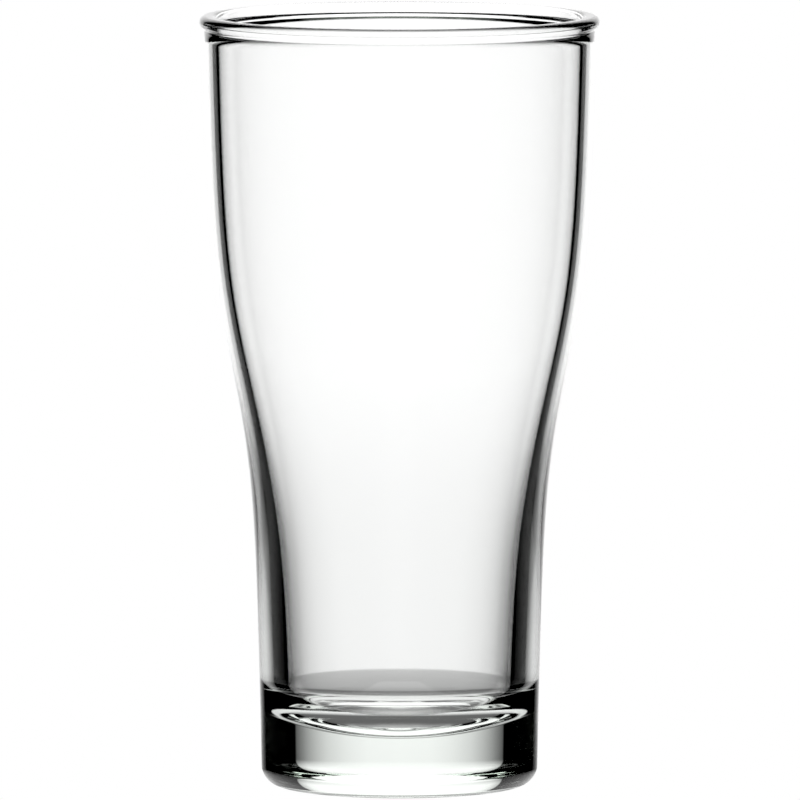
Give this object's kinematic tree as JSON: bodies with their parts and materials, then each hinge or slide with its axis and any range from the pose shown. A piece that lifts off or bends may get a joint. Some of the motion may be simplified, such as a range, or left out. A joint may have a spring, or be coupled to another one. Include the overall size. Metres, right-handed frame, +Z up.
{
  "type": "pint glass",
  "caption": "Clear pint beer glass with a soft flare, a rolled lip and a thick solid foot; holds about an imperial pint to the brim.",
  "frame": {"origin": "centre of the flat ring that the glass stands on, in the plane of the table", "axes": "+Z up along the axis of the glass, from the foot to the mouth; X and Y are any two level directions, because the glass is round"},
  "size_m": [0.0896, 0.0896, 0.173],
  "materials": {
    "clear_glass": "gloss"
  },
  "bodies": {
    "root": {"glass_body": "clear_glass"}
  },
  "joints": []
}
